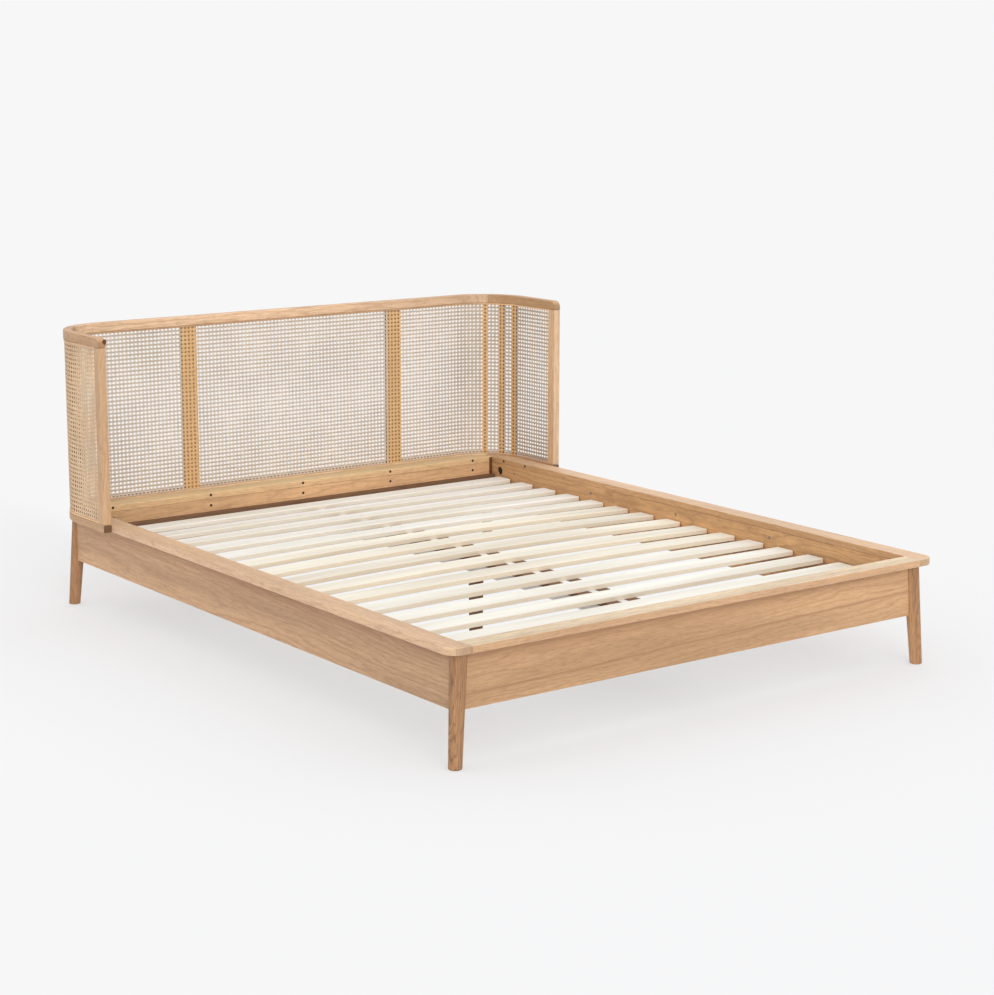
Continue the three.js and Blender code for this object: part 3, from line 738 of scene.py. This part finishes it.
class BED_OT_cane(bpy.types.Operator):
    """Weave the two cane skins and wrap them round the headboard"""

    bl_idname = "bed.cane"
    bl_label = "Cane skins"

    def execute(self, context):
        cane = context.scene.bed_cane
        warm = cane.warm
        discs = []
        for word in SIDE_NAMES:
            stile = (f"headboard_stile_{word}", STILE_HALF, (1.08, 1.09, 1.09))
            strips = [(f"headboard_strip_{word}_{number}", STRIP_HALF, (1.10, 1.07, 1.04)) for number in (1, 2, 3)]
            for node, half, tone in (stile, *strips):
                low, high = span(node)
                middle = (low + high) / 2
                discs.append((middle.x, middle.y, math.hypot(*half), tone))
        height = PANEL_HIGH - PANEL_LOW
        row = (PANEL_LOW + (height - int(height / cane.pitch_up) * cane.pitch_up) / 2, cane.pitch_up)
        # The inner skin is painted greyer for cane lit from behind, keeps the warm colour over the uprights, and has
        # painted shade along its level pairs
        inner = cane_material("cane_inner", cane.colour, cane.shade, warm, discs, row)
        skins = (
            ("inner", INNER_SKIN_Y, (0.0, 0.0, 1.0), inner),
            ("outer", OUTER_SKIN_Y, (cane.shift_along, cane.shift_up, 1.0 + cane.stretch),
             cane_material("cane_outer", tinted(warm, (1.02, 1.14, 1.45)), tinted(warm, (0.7, 0.66, 0.7)))),
        )
        for word, skin_y, shift, material in skins:
            radius = skin_y - CORNER_Y
            skin = self.weave(cane, word, radius, shift)
            cut_turns(skin, radius)
            if word == "outer":
                self.ease_wings(cane, skin, radius)
            self.trim(skin, path_length(radius))
            bend_round(skin, radius)
            smooth(skin)
            finish_piece(skin, material, "cane", *(f"cane_{word}_{part}" for part in ("back", "left", "right")))
        return {"FINISHED"}

    def weave(self, cane, word, radius, shift):
        """A flat web as long as the path, its lower left corner at the middle of the world."""
        length = path_length(radius)
        height = PANEL_HIGH - PANEL_LOW
        pitch, rise = cane.pitch_along * shift[2], cane.pitch_up
        thick = cane.strand_thickness
        half_columns = int(length / pitch / 2)
        columns = 2 * half_columns
        rows = int(height / rise)
        # Strands are longer and more than the panel needs, and are trimmed to it
        spare = 0.03
        start = length / 2 - half_columns * pitch + shift[0]
        bottom = PANEL_LOW + (height - rows * rise) / 2 + shift[1]
        strands = []
        for offset in (-cane.pair_gap / 2, cane.pair_gap / 2):
            upright = strand(cane.strand_width, thick, height + spare)
            upright.location = (start + offset - 2 * pitch, thick, PANEL_LOW + height / 2)
            apply_place(upright)
            repeat(upright, columns + 5, (pitch, 0.0, 0.0))
            level = strand(cane.strand_width, thick, length + 2 * spare, QUARTER)
            level.location = (length / 2, -thick, bottom + offset)
            apply_place(level)
            repeat(level, rows + 2, (0.0, 0.0, rise))
            strands += [upright, level]
        count = int((length + height) / pitch) + 7
        slant = strand(cane.slant_width, thick, (rows + 3) * math.hypot(pitch, rise), math.atan2(pitch, rise))
        slant.location = (start - (rows + 5) * pitch / 2, 0.0, bottom + rows * rise / 2)
        apply_place(slant)
        repeat(slant, count, (pitch, 0.0, 0.0))
        other = copy_of(slant)
        other.scale = (-1.0, 1.0, 1.0)
        other.location = (2 * start + columns * pitch, thick * 0.3, 0.0)
        apply_place(other)
        change_mesh(other, bpy.ops.mesh.normals_make_consistent, inside=False)
        return join_pieces([*strands, slant, other], f"cane_weave_{word}")

    def ease_wings(self, cane, web, radius):
        """Shift the strands over the wings, easing in round the corners."""
        arc = radius * QUARTER
        left = CORNER_Y - POST_BACK_Y + arc
        right = left + 2 * CORNER_X
        for vertex in web.data.vertices:
            on_left = min(1.0, max(0.0, (left - vertex.co.x) / arc))
            on_right = min(1.0, max(0.0, (vertex.co.x - right) / arc)) ** 3
            vertex.co.x += cane.left_shift[0] * on_left + cane.right_shift[0] * on_right
            vertex.co.z += cane.left_shift[1] * on_left + cane.right_shift[1] * on_right

    def trim(self, web, length):
        for place, normal in (((0.0, 0.0, 0.0), (-1.0, 0.0, 0.0)), ((length, 0.0, 0.0), (1.0, 0.0, 0.0)),
                              ((0.0, 0.0, PANEL_LOW), (0.0, 0.0, -1.0)), ((0.0, 0.0, PANEL_HIGH), (0.0, 0.0, 1.0))):
            bisect_at(web, place, normal, trim=True)


class BED_OT_beads(bpy.types.Operator):
    """Run a bead round the edge of each cane skin"""

    bl_idname = "bed.beads"
    bl_label = "Cane beads"

    def execute(self, context):
        cane = context.scene.bed_cane
        wood = context.scene.bed_wood
        material = wood_material("bead_oak", lighter(wood.oak, 1.22), wood.oak_grain, "Y", 30.0,
                                 figure=0.2, pores=0.2)
        half_width = cane.bead_width / 2
        for word, skin_y, out in (("inner", INNER_SKIN_Y, -1), ("outer", OUTER_SKIN_Y, 1)):
            radius = skin_y - CORNER_Y
            length = path_length(radius)
            beads = []
            # The low bead of the inner skin is narrower than the others
            low_width = cane.bead_width * (0.4 if word == "inner" else 1.0)
            for width, z in ((low_width, PANEL_LOW + low_width / 2), (cane.bead_width, PANEL_HIGH - half_width)):
                bead = strand(width, BEAD_DEPTH * 2, length, QUARTER)
                bead.location = (length / 2, out * BEAD_DEPTH, z)
                apply_place(bead)
                beads.append(bead)
            for x in (half_width, length - half_width):
                bead = strand(cane.bead_width, BEAD_DEPTH * 2, PANEL_HIGH - PANEL_LOW)
                bead.location = (x, out * BEAD_DEPTH, (PANEL_LOW + PANEL_HIGH) / 2)
                apply_place(bead)
                beads.append(bead)
            joined = join_pieces(beads, f"cane_bead_{word}")
            cut_turns(joined, radius)
            bend_round(joined, radius)
            smooth(joined)
            finish_piece(joined, material, "oak")
        return {"FINISHED"}


class BED_OT_fixings(bpy.types.Operator):
    """Set the screws, the sunk holes, the two bolts and the dark joints"""

    bl_idname = "bed.fixings"
    bl_label = "Screws and bolts"

    def execute(self, context):
        fixing = context.scene.bed_fixings
        metal = metal_material("plated_steel", fixing.metal)
        dark = dark_hole_material("drilled_hole")
        joint = dark_hole_material("dark_joint_and_shade", (0.085, 0.025, 0.003), (0.17, 0.052, 0.008))
        self.sunk_holes(fixing, dark, metal)
        self.bolts(fixing, dark)
        self.corner_joints(joint)
        return {"FINISHED"}

    def standing(self, name, vertices, width, depth):
        """A cylinder that stands on the middle of the world."""
        bpy.ops.object.select_all(action="DESELECT")
        bpy.ops.mesh.primitive_cylinder_add(vertices=vertices, radius=width / 2, depth=depth,
                                            location=(0.0, 0.0, depth / 2))
        bpy.context.object.name = name
        return bpy.context.object

    def round_head(self, name, width, depth, recess):
        """A pan head with a round recess, facing up."""
        head = self.standing(name, 20, width, depth)

        # Round the rim of the top
        bpy.ops.object.mode_set(mode="EDIT")
        bpy.ops.mesh.select_mode(type="FACE")
        bpy.ops.mesh.select_all(action="DESELECT")
        bpy.ops.object.mode_set(mode="OBJECT")
        for face in head.data.polygons:
            face.select = face.normal.z > 0.9
        bpy.ops.object.mode_set(mode="EDIT")
        bpy.ops.mesh.bevel(offset=depth * 0.45, offset_type="OFFSET", segments=2, affect="EDGES")
        bpy.ops.mesh.select_all(action="DESELECT")
        bpy.ops.object.mode_set(mode="OBJECT")

        # Sink the recess in the top
        top = max(vertex.co.z for vertex in head.data.vertices)
        for face in head.data.polygons:
            face.select = face.normal.z > 0.95 and abs(face.center.z - top) < depth * 0.1
        bpy.ops.object.mode_set(mode="EDIT")
        bpy.ops.mesh.inset(thickness=width * recess, depth=0.0)
        bpy.ops.mesh.inset(thickness=width * 0.02, depth=-depth * 0.6)
        bpy.ops.object.mode_set(mode="OBJECT")
        return head

    def copies(self, model, places, turn, name):
        """Copies of a model at each place, each with its own mesh, joined into one piece."""
        made = []
        for place in places:
            copy = copy_of(model)
            copy.rotation_euler = turn
            copy.location = place
            apply_place(copy)
            made.append(copy)
        return join_pieces(made, name)

    def disc(self, name, width, depth, rim):
        """A thin disc with an eased rim, facing up."""
        piece = self.standing(name, 24, width, depth)
        bevel = piece.modifiers.new("Rim", "BEVEL")
        bevel.width = rim
        bevel.segments = 2
        bevel.limit_method = "ANGLE"
        apply_modifiers(piece)
        return piece

    def sunk_holes(self, fixing, dark, metal):
        # Each sunk hole is a thin disc of painted shade on the face
        model = self.disc("sunk_hole", fixing.hole_width, depth=0.0005, rim=0.0002)
        head = [(x, HEAD_FACE_Y, z) for x in HEAD_HOLES_X for z in HEAD_HOLES_Z]
        finish_piece(self.copies(model, head, (QUARTER, 0.0, 0.0), "head_rail_holes"), dark, "oak")
        screw = self.round_head("side_screw", fixing.screw_width, depth=0.0012, recess=0.26)
        for side, word in SIDES:
            turn = (0.0, -side * QUARTER, 0.0)
            holes = [(side * WELL_X, y, SIDE_HOLES_Z) for y in SIDE_HOLES_Y]
            finish_piece(self.copies(model, holes, turn, f"side_holes_{word}"), dark, "oak")
            spots = [(side * WELL_X, y, SIDE_SCREWS_Z) for y in SIDE_SCREWS_Y]
            screws = self.copies(screw, spots, turn, f"side_screws_{word}")
            smooth(screws)
            finish_piece(screws, metal, "oak")
        bpy.data.objects.remove(model)
        bpy.data.objects.remove(screw)

    def bolts(self, fixing, dark):
        """A small bolt head on a disc of painted shade in the pocket of each side board."""
        pocket_y, pocket_z, floor_x = HEAD_FACE_Y - POCKET_SETBACK, CAP_TOP - POCKET_DROP, WELL_X + POCKET_DEPTH
        # The bolt's steel is about a third as bright as the screws'
        darkened = metal_material("darkened_steel", [c * 0.35 for c in fixing.metal], 0.5)
        bolt = self.round_head("bolt", fixing.bolt_width, depth=0.0016, recess=0.22)
        # The dark disc in each pocket is painted shade
        shading = self.disc("pocket_floor", fixing.pocket_width, depth=0.0076, rim=0.0003)
        for model, lift, material, name in ((shading, SHADING_LIFT, dark, "pocket_floors"),
                                            (bolt, BOLT_LIFT, darkened, "pocket_bolts")):
            made = []
            for side, word in SIDES:
                place = (side * (floor_x - lift), pocket_y, pocket_z)
                made.append(self.copies(model, [place], (0.0, -side * QUARTER, 0.0), f"{model.name}_{word}"))
            joined = join_pieces(made, name)
            smooth(joined)
            finish_piece(joined, material, "oak")
            bpy.data.objects.remove(model)

    def shaded_block(self, name, size, place, material):
        bpy.ops.mesh.primitive_cube_add(size=1.0, location=(0.0, 0.0, 0.0))
        block = bpy.context.object
        block.name = name
        block.scale = size
        block.location = place
        apply_place(block)
        bevel = block.modifiers.new("Eased", "BEVEL")
        bevel.width = 0.0003
        apply_modifiers(block)
        finish_piece(block, material, "oak")

    def corner_joints(self, joint):
        """Painted shade in the gaps at the corners of the well, dark joints at the ends of the foot cap, and one dark
        spot on a rail end.
        """
        foot, top = SLAT_TOP - JOINT_UNDER_SLATS, CAP_TOP - JOINT_UNDER_CAP
        cap_low, cap_high = span("cap_foot")
        for side, word in SIDES:
            self.shaded_block(f"corner_joint_{word}", (*CORNER_JOINT, top - foot),
                              (side * (WELL_X - 0.0059), HEAD_FACE_Y - 0.0004, (top + foot) / 2), joint)
            self.shaded_block(f"foot_joint_{word}", (*FOOT_JOINT, cap_high.z - cap_low.z - JOINT_SHORT_OF_CAP),
                              (side * (cap_high.x - 0.0002), cap_low.y + 0.0005, (cap_low.z + cap_high.z) / 2), joint)
        bpy.ops.mesh.primitive_cylinder_add(vertices=24, radius=0.0055, depth=0.0012, location=(0.0, 0.0, 0.0),
                                            rotation=(QUARTER, 0.0, 0.0))
        dark_spot = bpy.context.object
        dark_spot.name = "rail_end_dark_spot"
        dark_spot.scale = (1.0, 1.5, 1.0)
        inset, lift, height = DARK_SPOT_PLACE
        dark_spot.location = (-WING_FACE_X + inset, span("headboard_top_rail_left")[0].y + lift, height)
        apply_place(dark_spot)
        finish_piece(dark_spot, joint, "oak")


class BED_OT_stage(bpy.types.Operator):
    """Set the floor, the light and the camera"""

    bl_idname = "bed.stage"
    bl_label = "Stage"

    def execute(self, context):
        stage = context.scene.bed_stage
        self.floor(stage)
        self.world(context, stage)
        self.lamps(stage)
        self.camera(context)
        context.scene.view_settings.view_transform = "Standard"
        return {"FINISHED"}

    def floor(self, stage):
        bpy.ops.object.select_all(action="DESELECT")
        bpy.ops.mesh.primitive_plane_add(size=60.0, location=(0.0, 0.0, -0.0002))
        floor = bpy.context.object
        floor.name = "floor"
        apply_place(floor)
        material, tree = new_material("studio_floor")
        level = stage.backdrop
        tone = stage.floor_tone
        # The matt floor is a little blue, painted to offset the warm light thrown back from the wood
        matt = add_node(tree, "ShaderNodeBsdfDiffuse", {"Color": (tone * 0.99, tone * 0.995, tone * 1.015, 1.0)})
        glow = add_node(tree, "ShaderNodeEmission", {"Color": (level, level, level, 1.0), "Strength": 1.0})
        seen = add_node(tree, "ShaderNodeLightPath").outputs
        eye = add_math(tree, "MAXIMUM", seen["Is Camera Ray"], seen["Is Glossy Ray"])
        spot = split(tree, object_place(tree))

        # Behind and right of the bed's middle, and far to its left, the floor is painted light: it takes most of the
        # bright backdrop and shows less shadow
        lit = [add_range(tree, spot[axis], (-0.45, -0.15), interpolation="SMOOTHSTEP") for axis in (0, 1)]
        aside = add_range(tree, spot[0], (-1.2, -1.9), interpolation="SMOOTHSTEP")
        clear = add_math(tree, "MAXIMUM", add_math(tree, "MULTIPLY", lit[0], lit[1]), aside)
        shadow = add_math(tree, "MULTIPLY", add_math(tree, "SUBTRACT", 1.0, add_math(tree, "MULTIPLY", clear, 0.9)),
                          stage.floor_shadow)
        share = add_math(tree, "MULTIPLY", eye, add_math(tree, "SUBTRACT", 1.0, shadow))
        mixed = add_node(tree, "ShaderNodeMixShader", {0: share, 1: matt.outputs[0], 2: glow.outputs[0]})
        add_node(tree, "ShaderNodeOutputMaterial", {"Surface": mixed.outputs[0]})
        set_material(floor, material)

    def world(self, context, stage):
        world = bpy.data.worlds.new("studio")
        context.scene.world = world
        world.use_nodes = True
        tree = world.node_tree
        tree.nodes.clear()
        level = stage.backdrop
        light = add_node(tree, "ShaderNodeBackground", {"Color": (1.0, 1.0, 1.0, 1.0), "Strength": stage.sky})
        view = add_node(tree, "ShaderNodeBackground", {"Color": (level, level, level, 1.0), "Strength": 1.0})
        seen = add_node(tree, "ShaderNodeLightPath").outputs
        eye = add_math(tree, "MAXIMUM", seen["Is Camera Ray"], seen["Is Glossy Ray"])
        eye = add_math(tree, "MAXIMUM", eye, seen["Is Transmission Ray"])
        mixed = add_node(tree, "ShaderNodeMixShader", {0: eye, 1: light.outputs[0], 2: view.outputs[0]})
        add_node(tree, "ShaderNodeOutputWorld", {"Surface": mixed.outputs[0]})

    def lamps(self, stage):
        data = bpy.data.lights.new("key", "SUN")
        data.energy = stage.key
        data.angle = stage.key_spread
        lamp = bpy.data.objects.new("key", data)
        lamp.location = KEY_PLACE
        aim = Vector(KEY_AIM) - lamp.location
        lamp.rotation_mode = "QUATERNION"
        lamp.rotation_quaternion = aim.to_track_quat("-Z", "Y")
        bpy.context.scene.collection.objects.link(lamp)

    def camera(self, context):
        data = bpy.data.cameras.new("view")
        data.sensor_fit = "HORIZONTAL"
        data.sensor_width = SENSOR_WIDTH
        data.lens = SENSOR_WIDTH * FOCAL_PIXELS / PHOTO_WIDTH
        camera = bpy.data.objects.new("view", data)
        camera.location = CAMERA_PLACE
        level = Euler((QUARTER - CAMERA_PITCH, 0.0, -CAMERA_YAW)).to_quaternion()
        camera.rotation_mode = "QUATERNION"
        camera.rotation_quaternion = level @ Quaternion((0.0, 0.0, 1.0), CAMERA_ROLL)
        context.scene.collection.objects.link(camera)
        context.scene.camera = camera


class BED_PT_panel(bpy.types.Panel):
    """Lists the steps that dress the bed"""

    bl_idname = "BED_PT_panel"
    bl_label = "Caned platform bed"
    bl_space_type = "VIEW_3D"
    bl_region_type = "UI"
    bl_category = "Bed"

    def draw(self, context):
        for step in STEPS:
            self.layout.operator(step.bl_idname)


STEPS = (BED_OT_oak_frame, BED_OT_legs, BED_OT_deck, BED_OT_cane, BED_OT_beads, BED_OT_fixings, BED_OT_stage)
GROUPS = (
    ("bed_cane", CaneSettings),
    ("bed_wood", WoodSettings),
    ("bed_fixings", FixingSettings),
    ("bed_stage", StageSettings),
)


def register():
    for name, group in GROUPS:
        bpy.utils.register_class(group)
        setattr(bpy.types.Scene, name, bpy.props.PointerProperty(type=group))
    for step in (*STEPS, BED_PT_panel):
        bpy.utils.register_class(step)


def unregister():
    for step in reversed((*STEPS, BED_PT_panel)):
        bpy.utils.unregister_class(step)
    for name, group in reversed(GROUPS):
        delattr(bpy.types.Scene, name)
        bpy.utils.unregister_class(group)


def main():
    register()
    for operator in (bpy.ops.bed.oak_frame, bpy.ops.bed.legs, bpy.ops.bed.deck, bpy.ops.bed.cane,
                     bpy.ops.bed.beads, bpy.ops.bed.fixings, bpy.ops.bed.stage):
        operator()
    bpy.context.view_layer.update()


if __name__ == "__main__":
    main()
